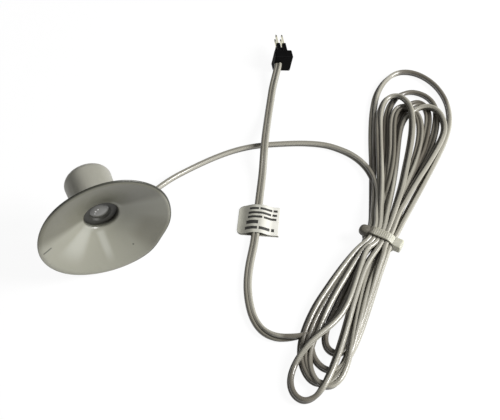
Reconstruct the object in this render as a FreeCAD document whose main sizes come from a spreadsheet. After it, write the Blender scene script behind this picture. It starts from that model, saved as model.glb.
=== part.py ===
import FreeCAD, Part
import math
import os
import re

import Sketcher
from FreeCAD import Placement, Rotation, Vector

# The head stands on the edge of its suction cup, with its axis level along Y and the cup
# looking along -Y. The origin is on the table below the middle of the head.
# Lengths are in mm and angles in degrees.
SIZES = {
    "cup_radius": 25.0,
    "cup_depth": 7.4,
    "cup_hub_radius": 6.4,
    "cup_wall": 1.5,
    "cup_lip": 0.7,
    "cup_land": 0.6,
    "cup_bow": 0.35,
    "neck_wall": 1.6,
    "neck_length": 3.6,
    "housing_front_radius": 8.45,
    "housing_end_radius": 9.15,
    "housing_length": 18.0,
    "housing_wall": 1.4,
    "housing_edge_round": 3.0,
    "ring_width": 3.45,
    "lens_bevel": 0.6,
    "lens_crown": 0.8,
    "lens_seat": 2.0,
    "lens_flange": 0.9,
    "lens_flange_rim": 1.2,
    "can_radius": 4.1,
    "can_height": 2.0,
    "can_rim": 0.5,
    "can_rim_height": 0.6,
    "leg_radius": 0.23,
    "leg_pitch": 5.08,
    "leg_stub": 0.9,
    "board_gap": 0.9,
    "board_thickness": 1.2,
    "board_clearance": 0.2,
    "exit_setback": 19.9,
    "exit_drop": 50.0,
    "gland_radius": 2.4,
    "gland_inside": 0.8,
    "gland_collar_radius": 3.2,
    "gland_collar_length": 1.2,
    "gland_tip_radius": 2.3,
    "gland_tail": 2.2,
    "lead_straight": 4.0,
    "cord_width": 3.2,
    "cord_thickness": 1.9,
    "core_radius": 0.85,
    "core_rise": 1.5,
    "bundle_width": 11.4,
    "bundle_height": 7.0,
    "tie_width": 3.6,
    "tie_thickness": 1.1,
    "tie_head_length": 4.0,
    "tie_head_width": 5.0,
    "tie_head_height": 4.4,
    "tie_head_round": 0.6,
    "tie_knob_width": 5.2,
    "tie_knob_reach": 2.2,
    "label_length": 13.6,
    "label_left": 7.4,
    "label_right": 8.9,
    "label_film": 0.25,
    "label_slack": 0.9,
    "label_ease": 0.15,
    "label_corner": 2.2,
    "plug_width": 7.7,
    "plug_height": 8.5,
    "plug_length": 4.4,
    "plug_edge_round": 0.5,
    "plug_roll": 9.6,
    "plug_core_height": 4.1,
    "plug_core_offset": -1.9,
    "plug_core_length": 4.4,
    "pin_pitch": 2.54,
    "pin_side": 0.64,
    "pin_height": 6.0,
    "pin_sink": 2.5,
    "pin_free": 6.0,
    "pin_point": 0.9,
    "pin_tip_side": 0.2,
    "tower_side": 1.5,
    "tower_length": 4.75,
    "half_turn_ease": 0.001,
}

# Where the loose pieces lie on the table, and how they are turned, seen from above.
PLUG_AT = (99.1, 60.1)
PLUG_TURN = -13.5
TIE_AT = (96.9, -39.9)
TIE_TURN = -50.0

# Points that the cord's middle passes, chosen along its lie. The sensor's route follows a
# straight run out of the gland, and the plug's starts at the plug. Tangent arcs join the runs.
SENSOR_ROUTE = [
    (13.9, 7.3, 9.0),
    (18.6, 9.7, 6.2),
    (23.6, 13.0, 4.6),
    (28.9, 16.2, 3.6),
    (35.0, 19.1, 2.5),
    (42.0, 21.2, 1.6),
    (49.0, 22.7, 1.1),
    (56.0, 23.7, 0.95),
    (63.8, 24.1, 0.95),
    (72.2, 23.2, 0.95),
    (81.7, 20.4, 0.95),
    (91.0, 17.1, 0.95),
    (98.8, 13.1, 0.95),
    (104.5, 7.6, 0.95),
    (108.0, 0.6, 0.95),
    (109.8, -6.4, 1.0),
    (110.4, -13.4, 1.5),
    (109.4, -19.8, 2.2),
]
PLUG_ROUTE = [
    (91.2, 51.0, 2.6),
    (88.0, 45.4, 1.1),
    (83.9, 38.0, 1.05),
    (79.3, 29.2, 3.2),
    (75.6, 21.9, 6.2),
    (72.2, 15.0, 6.2),
    (68.6, 7.6, 2.4),
    (63.0, -2.7, 1.2),
    (53.4, -21.4, 1.2),
    (47.3, -30.9, 0.95),
    (43.4, -38.7, 0.95),
    (41.1, -46.0, 0.95),
    (40.0, -52.9, 0.95),
    (40.8, -59.0, 0.95),
    (44.0, -63.4, 1.0),
    (48.9, -65.6, 1.4),
    (54.4, -66.6, 2.0),
    (60.2, -67.4, 2.5),
]
RUN_SHARE = 0.45  # how much of a run each of its two arcs takes
BEND_SHARE = 0.6  # how much of its rise a core makes before it bends

# The wound cord's outer shape: middle, direction of its run, half width and height.
HANK_STATIONS = [
    (43.3, -90.3, 50.0, 2.6, 3.4),
    (46.2, -86.6, 49.0, 6.0, 4.8),
    (50.6, -81.4, 48.0, 8.0, 5.6),
    (57.0, -74.4, 46.0, 9.1, 6.0),
    (64.6, -66.4, 44.0, 9.6, 6.2),
    (76.2, -56.4, 42.0, 8.7, 6.4),
    (87.2, -47.6, 40.0, 6.9, 7.0),
    (94.4, -41.9, 40.0, 5.8, 8.4),
    (99.3, -37.8, 42.0, 5.8, 8.4),
    (105.6, -31.0, 50.0, 6.9, 7.0),
    (113.2, -20.6, 55.0, 9.9, 6.4),
    (122.2, -7.6, 56.0, 14.0, 6.2),
    (131.4, 5.6, 56.0, 17.2, 6.0),
    (138.4, 15.6, 55.0, 18.2, 5.8),
    (143.4, 24.6, 55.0, 15.8, 5.4),
    (147.2, 31.8, 57.0, 11.0, 4.8),
    (150.2, 37.4, 58.0, 4.6, 3.6),
]

SAME_SPOT = 1e-6
NEAR = 0.01      # how close an edge lies to the face that it is picked by
LEAST_CUT = 1.0  # cubic mm that a pocket takes away at least

doc = FreeCAD.newDocument("light_sensor")
sheet = doc.addObject("Spreadsheet::Sheet", "Sizes")
for row, (name, number) in enumerate(SIZES.items(), start=1):
    sheet.set(f"A{row}", name)
    sheet.set(f"B{row}", str(number))
    sheet.setAlias(f"B{row}", name)
doc.recompute()

subparts = {}


def measure(formula):
    return float(sheet.evalExpression(formula))


def bound(formula):
    return re.sub(r"[a-z_]{2,}", lambda word: f"Sizes.{word.group()}", formula)


def keep(node, piece):
    piece.Label = node
    subparts[node] = piece
    return piece


def new_body(name):
    return doc.addObject("PartDesign::Body", f"{name}_body")


def new_sketch(body, plane_role):
    sketch = body.newObject("Sketcher::SketchObject", f"{body.Name}_{plane_role[:2]}")
    plane = next(f for f in body.Origin.OriginFeatures if f.Role == plane_role)
    sketch.AttachmentSupport = [(plane, "")]
    sketch.MapMode = "FlatFace"
    return sketch


def place_point(sketch, curve, end, across, up):
    """Ties one end of a curve to the sheet; a zero puts it on the sketch's axis."""
    for kind, formula, axis in (("DistanceX", across, -2), ("DistanceY", up, -1)):
        if formula == "0":
            sketch.addConstraint(Sketcher.Constraint("PointOnObject", curve, end, axis))
            continue
        start_value = measure(formula)
        tie = Sketcher.Constraint(kind, -1, 1, curve, end, start_value)
        sketch.setExpression(f"Constraints[{sketch.addConstraint(tie)}]", bound(formula))


def bowed(start, finish, radius, side):
    chord = finish - start
    half = chord.Length / 2
    bow = radius - math.sqrt(radius**2 - half**2)
    normal = Vector(-chord.y, chord.x, 0).normalize() * bow * side
    return Part.Arc(start, (start + finish) / 2 + normal, finish)


def outline(sketch, corners, arcs=None):
    """Closes a profile through the corners, with arcs of (radius, side) after the named ones."""
    arcs = arcs or {}
    spots = [Vector(measure(x), measure(y), 0) for x, y in corners]
    first = sketch.GeometryCount
    count = len(corners)
    for i, spot in enumerate(spots):
        following = spots[(i + 1) % count]
        if i in arcs:
            radius, side = arcs[i]
            sketch.addGeometry(bowed(spot, following, measure(radius), side), False)
        else:
            sketch.addGeometry(Part.LineSegment(spot, following), False)
    starts = []
    for i, spot in enumerate(spots):
        forward = sketch.Geometry[first + i].StartPoint.distanceToPoint(spot) < SAME_SPOT
        starts.append((first + i, 1 if forward else 2, 2 if forward else 1))
    for i, (curve, start, end) in enumerate(starts):
        next_curve, next_start, _ = starts[(i + 1) % count]
        sketch.addConstraint(Sketcher.Constraint("Coincident", curve, end, next_curve, next_start))
    for (curve, start, _), (across, up) in zip(starts, corners):
        place_point(sketch, curve, start, across, up)
    for i, (radius, _) in arcs.items():
        tie = Sketcher.Constraint("Radius", first + i, measure(radius))
        sketch.setExpression(f"Constraints[{sketch.addConstraint(tie)}]", bound(radius))


def ring(sketch, across, up, radius):
    centre = Vector(measure(across), measure(up), 0)
    circle = sketch.addGeometry(Part.Circle(centre, Vector(0, 0, 1), measure(radius)), False)
    place_point(sketch, circle, 3, across, up)
    tie = Sketcher.Constraint("Radius", circle, measure(radius))
    sketch.setExpression(f"Constraints[{sketch.addConstraint(tie)}]", bound(radius))


def revolve(body, corners, arcs=None, axis="V_Axis"):
    sketch = new_sketch(body, "XY_Plane")
    outline(sketch, corners, arcs)
    turned = body.newObject("PartDesign::Revolution", f"{body.Name}_turned")
    turned.Profile = sketch
    turned.ReferenceAxis = (sketch, [axis])
    turned.Angle = 360.0
    doc.recompute()
    return turned


def pad(body, sketch, length, both_ways=False, reverse=False):
    raised = body.newObject("PartDesign::Pad", f"{sketch.Name}_pad")
    raised.Profile = sketch
    raised.setExpression("Length", bound(length))
    raised.Midplane = both_ways
    raised.Reversed = reverse
    doc.recompute()
    return raised


def pocket(body, sketch, length, reverse=False):
    cut = body.newObject("PartDesign::Pocket", f"{sketch.Name}_pocket")
    cut.Profile = sketch
    cut.setExpression("Length", bound(length))
    cut.Reversed = reverse
    doc.recompute()
    return cut


def edges_where(shape, test):
    return [f"Edge{i}" for i, edge in enumerate(shape.Edges, start=1) if test(edge)]


def fillet(body, base, test, radius):
    rounded = body.newObject("PartDesign::Fillet", f"{base.Name}_round")
    rounded.Base = (base, edges_where(base.Shape, test))
    rounded.setExpression("Radius", bound(radius))
    doc.recompute()
    return rounded


# The head's turned pieces are drawn as (radius, depth behind the cup's rim).
SEAT = "cup_depth + cup_wall"
NECK_END = f"{SEAT} + neck_length"
HOUSING_END = f"{SEAT} + housing_length"
BORE = "housing_front_radius - housing_wall"
LENS_RADIUS = f"({BORE} - ring_width)"
LENS_SHOULDER = f"{SEAT} + lens_seat"
LENS_BACK = f"{LENS_SHOULDER} + lens_flange"
CAN_BACK = f"{LENS_BACK} + can_height + can_rim_height"
BOARD_FRONT = f"{CAN_BACK} + board_gap"
BOARD_BACK = f"{BOARD_FRONT} + board_thickness"
TAPER = "(housing_end_radius - housing_front_radius) / (housing_length - neck_length)"
EXIT_RADIUS = f"housing_front_radius + {TAPER} * (exit_setback - ({NECK_END}))"
GLAND_TIP = f"{EXIT_RADIUS} + gland_collar_length + gland_tail"


def head_point(across, depth, rise):
    """A point of the head in the part's frame."""
    return Vector(across, depth - measure(HOUSING_END) / 2, measure("cup_radius") + rise)


def exit_turn():
    return Rotation(Vector(0, 1, 0), measure("exit_drop"))


def exit_point(reach, depth):
    """A point beside the head on the way that the lead leaves it, sideways and down."""
    spot = exit_turn().multVec(Vector(reach, 0, 0))
    return head_point(spot.x, depth, spot.z)


def set_on_head(piece, depth="0"):
    piece.setExpression("Placement.Base.y", bound(f"{depth} - ({HOUSING_END}) / 2"))
    piece.setExpression("Placement.Base.z", bound("cup_radius"))


def make_suction_cup():
    body = new_body("suction_cup")
    span = "cup_radius - cup_lip - cup_land - cup_hub_radius"
    bow_radius = f"(({span}) ^ 2 + cup_depth ^ 2) / (8 * cup_bow) + cup_bow / 2"
    neck_radius = "housing_front_radius + neck_wall"
    corners = [
        ("cup_hub_radius", "cup_depth"),
        ("cup_radius - cup_lip - cup_land", "0"),
        ("cup_radius - cup_lip", "0"),
        ("cup_radius", "cup_lip"),
        (neck_radius, SEAT),
        (neck_radius, NECK_END),
        ("housing_front_radius", NECK_END),
        ("housing_front_radius", SEAT),
        ("cup_hub_radius", SEAT),
    ]
    revolve(body, corners, arcs={0: (bow_radius, -1)})
    set_on_head(body)
    keep("suction_cup", body)


def make_sensor_housing():
    body = new_body("sensor_housing")
    shell = revolve(body, [
        (BORE, SEAT),
        ("housing_front_radius", SEAT),
        ("housing_front_radius", NECK_END),
        ("housing_end_radius", HOUSING_END),
        ("0", HOUSING_END),
        ("0", f"{HOUSING_END} - housing_wall"),
        (BORE, f"{HOUSING_END} - housing_wall"),
    ])
    far_end = measure(HOUSING_END)
    rounded = fillet(body, shell, lambda edge: edge.BoundBox.YMin > far_end - NEAR
                     and edge.BoundBox.XLength > NEAR, "housing_edge_round")
    hole = new_sketch(body, "YZ_Plane")
    hole.AttachmentOffset = Placement(Vector(), Rotation(Vector(1, 0, 0), measure("exit_drop")))
    ring(hole, "exit_setback", "0", "gland_radius")
    pocket(body, hole, "housing_end_radius + gland_collar_radius", reverse=True)
    assert body.Shape.Volume < rounded.Shape.Volume - LEAST_CUT
    set_on_head(body)
    return keep("sensor_housing", body)


def make_lens_ring():
    body = new_body("lens_ring")
    revolve(body, [
        (f"{LENS_RADIUS} + lens_bevel", SEAT),
        (BORE, SEAT),
        (BORE, LENS_BACK),
        (f"{LENS_RADIUS} + lens_flange_rim", LENS_BACK),
        (f"{LENS_RADIUS} + lens_flange_rim", LENS_SHOULDER),
        (LENS_RADIUS, LENS_SHOULDER),
        (LENS_RADIUS, f"{SEAT} + lens_bevel"),
    ])
    set_on_head(body)
    keep("lens_ring", body)


def make_lens():
    body = new_body("lens")
    crown_radius = f"({LENS_RADIUS} ^ 2 + lens_crown ^ 2) / (2 * lens_crown)"
    revolve(body, [
        ("0", f"{SEAT} + lens_bevel - lens_crown"),
        (LENS_RADIUS, f"{SEAT} + lens_bevel"),
        (LENS_RADIUS, LENS_SHOULDER),
        (f"{LENS_RADIUS} + lens_flange_rim", LENS_SHOULDER),
        (f"{LENS_RADIUS} + lens_flange_rim", LENS_BACK),
        ("0", LENS_BACK),
    ], arcs={0: (crown_radius, -1)})
    set_on_head(body)
    keep("lens", body)


def make_photodiode():
    body = new_body("photodiode")
    revolve(body, [
        ("0", LENS_BACK),
        ("can_radius", LENS_BACK),
        ("can_radius", f"{LENS_BACK} + can_height"),
        ("can_radius + can_rim", f"{LENS_BACK} + can_height"),
        ("can_radius + can_rim", CAN_BACK),
        ("0", CAN_BACK),
    ])
    set_on_head(body)
    keep("photodiode", body)


def make_legs_and_board():
    legs = []
    for node, side in (("diode_leg_left", "-"), ("diode_leg_right", "")):
        leg = doc.addObject("Part::Cylinder", node)
        leg.setExpression("Radius", bound("leg_radius"))
        leg.setExpression("Height", bound(f"{BOARD_BACK} + leg_stub - ({CAN_BACK})"))
        leg.Placement = Placement(Vector(), Rotation(Vector(1, 0, 0), -90))
        leg.setExpression("Placement.Base.x", bound(f"{side}leg_pitch / 2"))
        set_on_head(leg, CAN_BACK)
        legs.append(keep(node, leg))
    disc = doc.addObject("Part::Cylinder", "board_disc")
    disc.setExpression("Radius", bound(f"{BORE} - board_clearance"))
    disc.setExpression("Height", bound("board_thickness"))
    disc.Placement = Placement(Vector(), Rotation(Vector(1, 0, 0), -90))
    set_on_head(disc, BOARD_FRONT)
    pair = doc.addObject("Part::MultiFuse", "leg_pair")
    pair.Shapes = legs
    board = doc.addObject("Part::Cut", "circuit_board")
    board.Base = disc
    board.Tool = pair
    doc.recompute()
    return keep("circuit_board", board)


def make_gland(housing):
    """Drawn as (distance from the head's axis, radius), turned about X and saddled on the housing."""
    body = new_body("gland")
    collar = f"{EXIT_RADIUS} - gland_inside"
    revolve(body, [
        (f"{BORE} - gland_inside", "0"),
        (f"{BORE} - gland_inside", "gland_radius"),
        (collar, "gland_radius"),
        (collar, "gland_collar_radius"),
        (f"{EXIT_RADIUS} + gland_collar_length", "gland_collar_radius"),
        (GLAND_TIP, "gland_tip_radius"),
        (GLAND_TIP, "0"),
    ], axis="H_Axis")
    body.Placement = Placement(Vector(), exit_turn())
    set_on_head(body, "exit_setback")
    gland = doc.addObject("Part::Cut", "cord_gland")
    gland.Base = body
    gland.Tool = housing
    doc.recompute()
    return keep("cord_gland", gland)


def route_wire(name, points):
    """Straight runs joined by tangent arcs, and the radius of each arc in the log."""
    runs = [b - a for a, b in zip(points, points[1:])]
    reach = [0.0] + [RUN_SHARE * min(a.Length, b.Length) for a, b in zip(runs, runs[1:])] + [0.0]
    edges = []
    radii = []
    here = points[0]
    for corner, before, after, tangent in zip(points[1:], runs, runs[1:], reach[1:]):
        start = corner - Vector(before).normalize() * tangent
        end = corner + Vector(after).normalize() * tangent
        half_turn = before.getAngle(after) / 2
        radius = tangent / math.tan(half_turn)
        inward = (start + end) / 2 - corner
        gap = radius / math.cos(half_turn) - radius
        edges.append(Part.LineSegment(here, start).toShape())
        edges.append(Part.Arc(start, corner + inward.normalize() * gap, end).toShape())
        radii.append(round(radius, 1))
        here = end
    edges.append(Part.LineSegment(here, points[-1]).toShape())
    wire = Part.Wire(edges)
    print(f"{name}: {wire.Length:.1f} mm long, arc radii {radii}")
    return wire


def flat_section(start, direction):
    """The twin cord's flat section with round edges, across the start of a route."""
    across = direction.cross(Vector(0, 0, 1)).normalize()
    up = across.cross(direction).normalize()
    half = measure("cord_thickness / 2")
    flat = measure("(cord_width - cord_thickness) / 2")
    right, left = start + across * flat, start - across * flat
    corners = [right + up * half, left + up * half, left - up * half, right - up * half]
    return Part.Wire([
        Part.LineSegment(corners[0], corners[1]).toShape(),
        Part.Arc(corners[1], left - across * half, corners[2]).toShape(),
        Part.LineSegment(corners[2], corners[3]).toShape(),
        Part.Arc(corners[3], right + across * half, corners[0]).toShape(),
    ])


def sweep_flat(name, points):
    path = route_wire(name, points)
    above = path.translated(Vector(0, 0, measure("cord_width")))
    sweep = Part.BRepOffsetAPI.MakePipeShell(path)
    sweep.setAuxiliarySpine(above, False, 0)
    sweep.add(flat_section(points[0], points[1] - points[0]))
    sweep.build()
    sweep.makeSolid()
    solid = sweep.shape()
    section = measure("(cord_width - cord_thickness) * cord_thickness")
    section += math.pi * measure("cord_thickness / 2") ** 2
    print(f"{name}: volume {solid.Volume:.1f}, section times length {section * path.Length:.1f}")
    return solid


def sweep_round(name, points, radius):
    path = route_wire(name, points)
    direction = points[1] - points[0]
    circle = Part.Wire(Part.makeCircle(radius, points[0], direction))
    return path.makePipeShell([circle], True, False)


def solid_piece(node, shape):
    piece = doc.addObject("Part::Feature", node)
    piece.Shape = shape
    piece.Placement = Placement()
    return keep(node, piece)


def nearest_solid(shape, point):
    spot = Part.Vertex(point)
    return min(shape.Solids, key=lambda solid: solid.distToShape(spot)[0])


def make_sensor_cores(gland, board):
    """The stripped cores run from the gland's inner end to the back of the board."""
    gland_end = measure(f"{BORE} - gland_inside")
    pad_depth = measure(BOARD_BACK)
    for node, side in (("sensor_core_front", -1), ("sensor_core_rear", 1)):
        depth = measure("exit_setback") + side * measure("cord_thickness / 2")
        across = -side * measure("leg_pitch / 2")
        rise = -side * measure("core_rise")
        bend = head_point(across, depth, rise * BEND_SHARE)
        shape = sweep_round(node, [
            exit_point(gland_end, depth),
            bend,
            head_point(across, pad_depth, rise),
        ], measure("core_radius"))
        ends = gland.Shape.fuse(board.Shape)
        solid_piece(node, nearest_solid(shape.cut(ends), bend))


def plug_frame():
    tilt = Rotation(Vector(0, 1, 0), measure("plug_roll"))
    turn = Rotation(Vector(0, 0, 1), PLUG_TURN)
    rise = measure("plug_width / 2") * math.sin(math.radians(measure("plug_roll")))
    return Placement(Vector(*PLUG_AT, rise), turn * tilt)


def pin_spots():
    """The four pins' places on the plug's face, as formulas of (across, up)."""
    for row, lift in (("lower", "-"), ("upper", "+")):
        for column, shift in (("left", "-"), ("right", "")):
            yield f"pin_{row}_{column}", f"{shift}pin_pitch / 2", f"pin_height {lift} pin_pitch / 2"


def square(sketch, across, up, side):
    outline(sketch, [
        (f"{across} - {side} / 2", f"{up} - {side} / 2"),
        (f"{across} + {side} / 2", f"{up} - {side} / 2"),
        (f"{across} + {side} / 2", f"{up} + {side} / 2"),
        (f"{across} - {side} / 2", f"{up} + {side} / 2"),
    ])


def make_plug_body():
    body = new_body("plug_body")
    block = new_sketch(body, "XZ_Plane")
    outline(block, [
        ("-plug_width / 2", "0"),
        ("plug_width / 2", "0"),
        ("plug_width / 2", "plug_height"),
        ("-plug_width / 2", "plug_height"),
    ])
    raised = pad(body, block, "plug_length", reverse=True)
    fillet(body, raised, lambda edge: True, "plug_edge_round")
    towers = new_sketch(body, "XZ_Plane")
    for _, across, up in pin_spots():
        square(towers, across, up, "tower_side")
    pad(body, towers, "plug_length + tower_length", reverse=True)
    bores = new_sketch(body, "XZ_Plane")
    bores.setExpression("AttachmentOffset.Base.z", bound("pin_sink - plug_length"))
    for _, across, up in pin_spots():
        square(bores, across, up, "pin_side")
    full_volume = body.Shape.Volume
    pocket(body, bores, "pin_sink + tower_length")
    assert body.Shape.Volume < full_volume - LEAST_CUT
    body.Placement = plug_frame()
    return keep("plug_body", body)


def make_pins():
    """Square pins with pyramid points, pushed into the plug's towers from the front."""
    length = "pin_sink + tower_length + pin_free"
    for node, across, up in pin_spots():
        shank = doc.addObject("Part::Box", f"{node}_shank")
        shank.setExpression("Length", bound("pin_side"))
        shank.setExpression("Width", bound(f"{length} - pin_point"))
        shank.setExpression("Height", bound("pin_side"))
        point = doc.addObject("Part::Wedge", f"{node}_point")
        sides = {
            "Xmin": "0", "Zmin": "0", "Xmax": "pin_side", "Zmax": "pin_side",
            "X2min": "(pin_side - pin_tip_side) / 2", "X2max": "(pin_side + pin_tip_side) / 2",
            "Z2min": "(pin_side - pin_tip_side) / 2", "Z2max": "(pin_side + pin_tip_side) / 2",
            "Ymin": f"{length} - pin_point", "Ymax": length,
        }
        for side, formula in sides.items():
            point.setExpression(side, bound(formula))
        pin = doc.addObject("Part::Fuse", node)
        pin.Base = shank
        pin.Tool = point
        pin.Refine = True
        corner = Vector(measure(f"{across} - pin_side / 2"), measure("plug_length - pin_sink"),
                        measure(f"{up} - pin_side / 2"))
        pin.Placement = plug_frame() * Placement(corner, Rotation())
        keep(node, pin)
    doc.recompute()


def plug_entry():
    local = Vector(measure("plug_core_offset"), 0, measure("plug_core_height"))
    return plug_frame().multVec(local)


def plug_lead_start():
    entry = plug_entry()
    way = (Vector(*PLUG_ROUTE[0]) - entry).normalize()
    return entry + way * measure("plug_core_length"), way


def make_plug_cores(plug):
    """The split end of the cord, trimmed where it enters the plug's back."""
    start, way = plug_lead_start()
    across = way.cross(Vector(0, 0, 1)).normalize() * measure("cord_thickness / 2")
    for node, side in (("plug_core_left", 1), ("plug_core_right", -1)):
        length = measure("plug_core_length + plug_length / 2")
        core = Part.makeCylinder(measure("core_radius"), length, start + across * side, -way)
        solid_piece(node, nearest_solid(core.cut(plug.Shape), start))


def make_cable_tie():
    """A strap loop round the waist of the wound cord, with its head and its bulging bend."""
    half_height = "bundle_height / 2"
    middle = f"tie_thickness + {half_height}"
    body = new_body("tie_strap")
    band = new_sketch(body, "XZ_Plane")
    for grow in ("tie_thickness", "0"):
        side = f"bundle_width / 2 - {half_height}"
        radius = f"{half_height} + {grow}"
        arc = (f"{radius} + half_turn_ease", -1)
        outline(band, [
            (f"-({side})", f"{middle} - ({radius})"),
            (side, f"{middle} - ({radius})"),
            (side, f"{middle} + {radius}"),
            (f"-({side})", f"{middle} + {radius}"),
        ], arcs={1: arc, 3: arc})
    pad(body, band, "tie_width", both_ways=True)
    head = doc.addObject("Part::Box", "tie_head")
    head.setExpression("Length", bound("tie_head_length"))
    head.setExpression("Width", bound("tie_head_width"))
    head.setExpression("Height", bound("tie_head_height"))
    head.setExpression("Placement.Base.x", bound("bundle_width / 2"))
    head.setExpression("Placement.Base.y", bound("-tie_head_width / 2"))
    head.setExpression("Placement.Base.z", bound(f"{middle} - tie_head_height / 2"))
    doc.recompute()
    soft_head = doc.addObject("Part::Fillet", "tie_soft_head")
    soft_head.Base = head
    round_ = measure("tie_head_round")
    soft_head.Edges = [(i, round_, round_) for i in range(1, len(head.Shape.Edges) + 1)]
    knob = doc.addObject("Part::Ellipsoid", "tie_knob")
    knob.setExpression("Radius2", bound("tie_thickness + tie_knob_reach"))
    knob.setExpression("Radius3", bound("tie_knob_width / 2"))
    knob.setExpression("Radius1", bound("tie_knob_width / 2"))
    knob.setExpression("Placement.Base.x", bound("-bundle_width / 2"))
    knob.setExpression("Placement.Base.z", bound(middle))
    tie = doc.addObject("Part::MultiFuse", "cable_tie")
    tie.Shapes = [body, soft_head, knob]
    tie.Placement = Placement(Vector(*TIE_AT, 0), Rotation(Vector(0, 0, 1), TIE_TURN))
    doc.recompute()
    return keep("cable_tie", tie)


def make_cord_hank(tie):
    """The outer shape of the wound cord, with the tie sunk in its waist."""
    rings = []
    for x, y, heading, half_width, height in HANK_STATIONS:
        angle = math.radians(heading)
        across = Vector(math.sin(angle), -math.cos(angle), 0)
        middle = Vector(x, y, height / 2)
        up = Vector(0, 0, height / 2)
        if half_width > height / 2:
            oval = Part.Ellipse(middle + across * half_width, middle + up, middle)
        else:
            oval = Part.Ellipse(middle + up, middle + across * half_width, middle)
        rings.append(Part.Wire(oval.toShape()))
    bundle = Part.makeLoft(rings, True, False)
    grooved = bundle.cut(tie.Shape)
    return solid_piece("cord_hank", max(grooved.Solids, key=lambda solid: solid.Volume))


def make_leads(gland, hank, tie):
    reaches = (measure(GLAND_TIP), measure(f"{GLAND_TIP} + lead_straight"))
    out_of_gland = [exit_point(reach, measure("exit_setback")) for reach in reaches]
    sensor_points = out_of_gland + [Vector(*p) for p in SENSOR_ROUTE]
    plug_points = [plug_lead_start()[0]] + [Vector(*p) for p in PLUG_ROUTE]
    for node, points in (("sensor_lead", sensor_points), ("plug_lead", plug_points)):
        free = sweep_flat(node, points).cut(hank.Shape.fuse([tie.Shape, gland.Shape]))
        solid_piece(node, nearest_solid(free, points[1]))


def make_cord_label():
    """A label folded round the cord's longest run and stuck to itself, drawn across the cord."""
    body = new_body("cord_label")
    strip = new_sketch(body, "XZ_Plane")
    inner_top = "label_film + cord_thickness + label_ease"
    outer_top = f"{inner_top} + label_film"
    inner_side = "cord_width / 2 + label_ease"
    outline(strip, [
        ("-label_left", "0"),
        ("label_right", "0"),
        ("label_right", "2 * label_film"),
        (f"{inner_side} + label_slack + label_film", "2 * label_film"),
        (f"{inner_side} + label_film", outer_top),
        (f"-({inner_side}) - label_film", outer_top),
        (f"-({inner_side}) - label_slack - label_film", "2 * label_film"),
        ("-label_left", "2 * label_film"),
    ])
    outline(strip, [
        (f"-({inner_side}) - label_slack", "label_film"),
        (f"{inner_side} + label_slack", "label_film"),
        (inner_side, inner_top),
        (f"-({inner_side})", inner_top),
    ])
    folded = pad(body, strip, "label_length", both_ways=True)
    left = measure("-label_left")
    fillet(body, folded, lambda edge: edge.BoundBox.XMax < left + NEAR
           and edge.BoundBox.YLength < NEAR, "label_corner")
    longest = max(zip(PLUG_ROUTE, PLUG_ROUTE[1:]), key=lambda run: math.dist(*run))
    start, end = (Vector(*p) for p in longest)
    run = start - end
    turn = math.degrees(math.atan2(-run.x, run.y))
    middle = (start + end) / 2
    body.Placement = Placement(Vector(middle.x, middle.y, 0), Rotation(Vector(0, 0, 1), turn))
    keep("cord_label", body)


make_suction_cup()
housing = make_sensor_housing()
make_lens_ring()
make_lens()
make_photodiode()
board = make_legs_and_board()
gland = make_gland(housing)
make_sensor_cores(gland, board)
plug = make_plug_body()
make_pins()
make_plug_cores(plug)
tie = make_cable_tie()
hank = make_cord_hank(tie)
make_leads(gland, hank, tie)
make_cord_label()
doc.recompute()

for piece in doc.Objects:
    faults = {"Invalid", "Error"} & set(piece.State)
    assert not faults, f"{piece.Name} failed: {piece.State}"
for node, piece in subparts.items():
    assert not piece.Shape.isNull() and piece.Shape.isValid(), f"{node} has no sound shape"
    assert piece.Shape.Solids, f"{node} holds no solid"

os.makedirs("parts", exist_ok=True)
for node, piece in subparts.items():
    piece.Shape.exportStep(f"parts/{node}.step")
    box = piece.Shape.BoundBox
    print(f"{node}: {len(piece.Shape.Solids)} solid, volume {piece.Shape.Volume:.1f}, "
          f"z from {box.ZMin:.2f} to {box.ZMax:.2f}")
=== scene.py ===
import math

import bpy
import numpy as np
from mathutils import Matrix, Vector


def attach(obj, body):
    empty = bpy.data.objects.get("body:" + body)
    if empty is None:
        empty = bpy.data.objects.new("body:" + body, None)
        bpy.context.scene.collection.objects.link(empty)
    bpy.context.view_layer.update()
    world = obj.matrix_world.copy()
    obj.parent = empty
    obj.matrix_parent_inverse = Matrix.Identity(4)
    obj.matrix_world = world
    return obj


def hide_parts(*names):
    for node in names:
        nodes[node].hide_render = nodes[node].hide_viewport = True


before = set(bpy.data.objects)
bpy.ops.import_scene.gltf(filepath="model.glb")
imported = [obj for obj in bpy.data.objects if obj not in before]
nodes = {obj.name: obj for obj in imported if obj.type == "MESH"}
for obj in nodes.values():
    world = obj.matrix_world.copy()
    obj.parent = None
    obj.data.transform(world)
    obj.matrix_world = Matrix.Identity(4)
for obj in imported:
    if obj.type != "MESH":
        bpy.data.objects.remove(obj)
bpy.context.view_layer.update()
# lengths are given in mm, but the camera's places and the studio in metres
mm = 0.001
print("frame loaded")

cameraSet = {
    "place": (-0.0369, -0.2402, 0.3239),
    "lookAt": (0.0579, -0.0056, 0.0),
    "lens": 75.6,
    "sensorWidth": 36.0,
}


def aim(thing, place, target):
    # moved to its place and turned so that its -Z axis runs to the target
    thing.location = place
    way = Vector(target) - Vector(place)
    thing.rotation_euler = way.to_track_quat("-Z", "Y").to_euler()


def makeCamera(choice):
    # the width that it sees is its distance times the sensor's width over the lens
    data = bpy.data.cameras.new("photoView")
    data.lens = choice["lens"]
    data.sensor_width = choice["sensorWidth"]
    camera = bpy.data.objects.new("photoView", data)
    bpy.context.collection.objects.link(camera)
    aim(camera, choice["place"], choice["lookAt"])
    bpy.context.scene.camera = camera


makeCamera(cameraSet)
print("camera set")


def joined(operation, swapped=False):
    # the operator that adds one Math node, with its values in the written order
    def apply(one, other):
        pair = (other, one) if swapped else (one, other)
        return one.coat.node("ShaderNodeMath", {"operation": operation}, pair)
    return apply


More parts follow.
